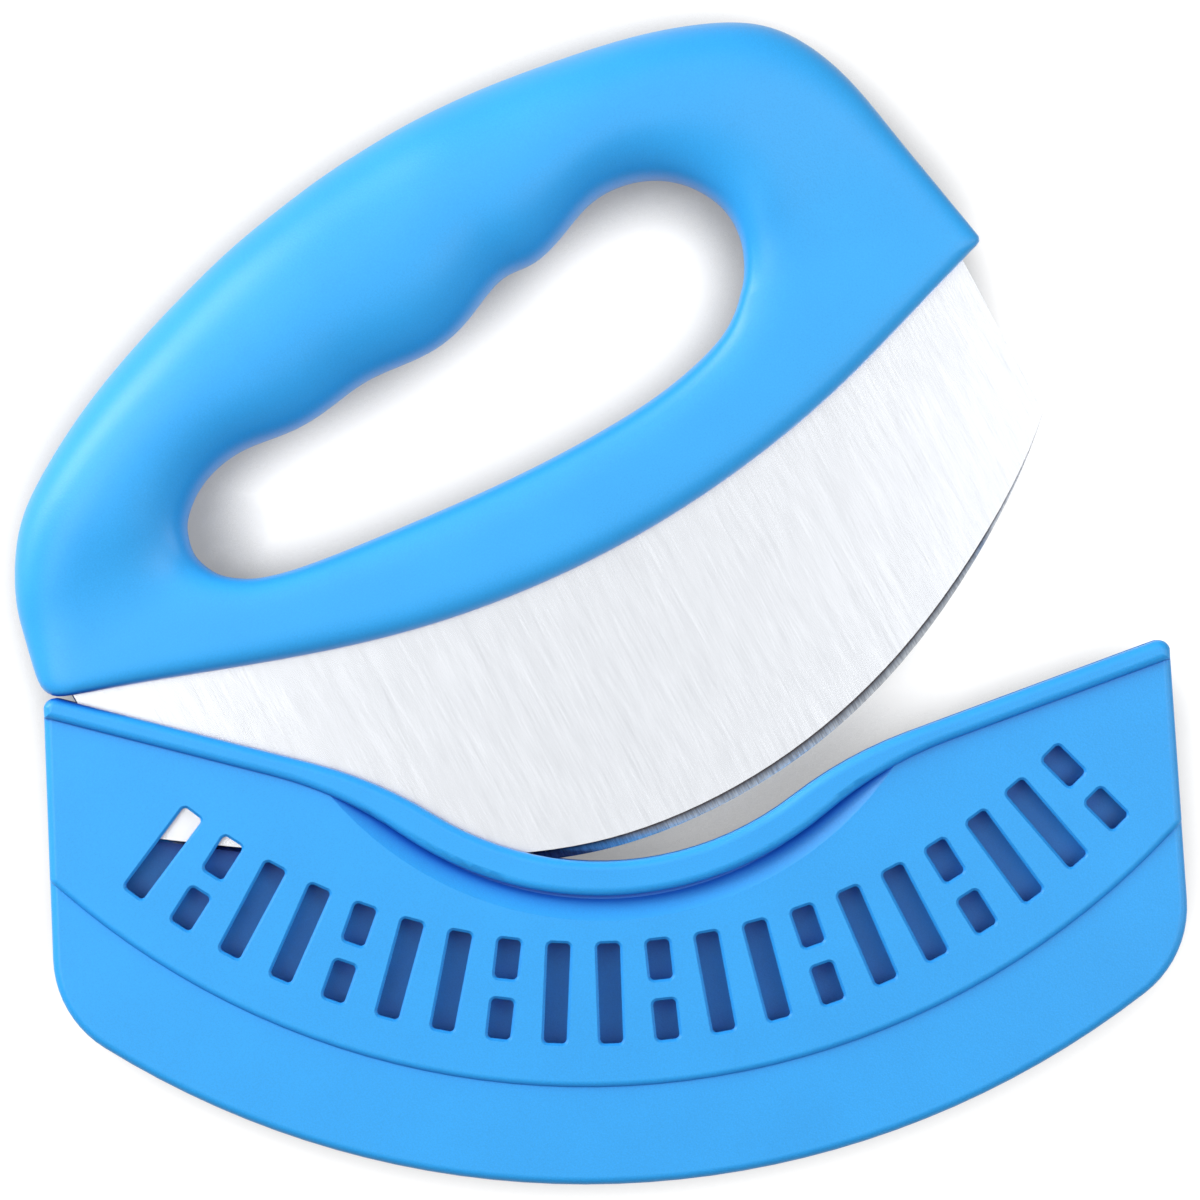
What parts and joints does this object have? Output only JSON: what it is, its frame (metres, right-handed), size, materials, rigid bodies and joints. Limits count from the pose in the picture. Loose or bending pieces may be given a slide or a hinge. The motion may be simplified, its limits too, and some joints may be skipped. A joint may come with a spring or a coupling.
{
  "type": "rocking pizza knife",
  "caption": "Rocking pizza knife lying flat, its curved blade under a closed loop handle with finger waves, in a slotted plastic sheath that swings open from the heel.",
  "frame": {"origin": "middle of the underside of the box round the whole part, with the sheath half open", "axes": "+X along the knife from heel to toe, +Y from the cutting edge up to the grip, +Z square to the blade"},
  "size_m": [0.204, 0.197, 0.0246],
  "materials": {
    "steel": "brushed across the blade, ground at the edge",
    "core_plastic": "moulded, hidden",
    "handle_plastic": "satin, fine grain",
    "sheath_plastic": "satin, fine grain"
  },
  "bodies": {
    "knife": {"blade": "steel", "handle_core": "core_plastic", "handle_skin": "handle_plastic"},
    "sheath": {"sheath_front": "sheath_plastic", "sheath_back": "sheath_plastic"}
  },
  "joints": [
    {"name": "sheath_swing", "type": "hinge", "parent": "knife", "child": "sheath", "pos_m": [-0.07242, 0.04428, 0.01228], "axis": [0, 0, 1], "range_deg": [-25, 24.9]}
  ]
}
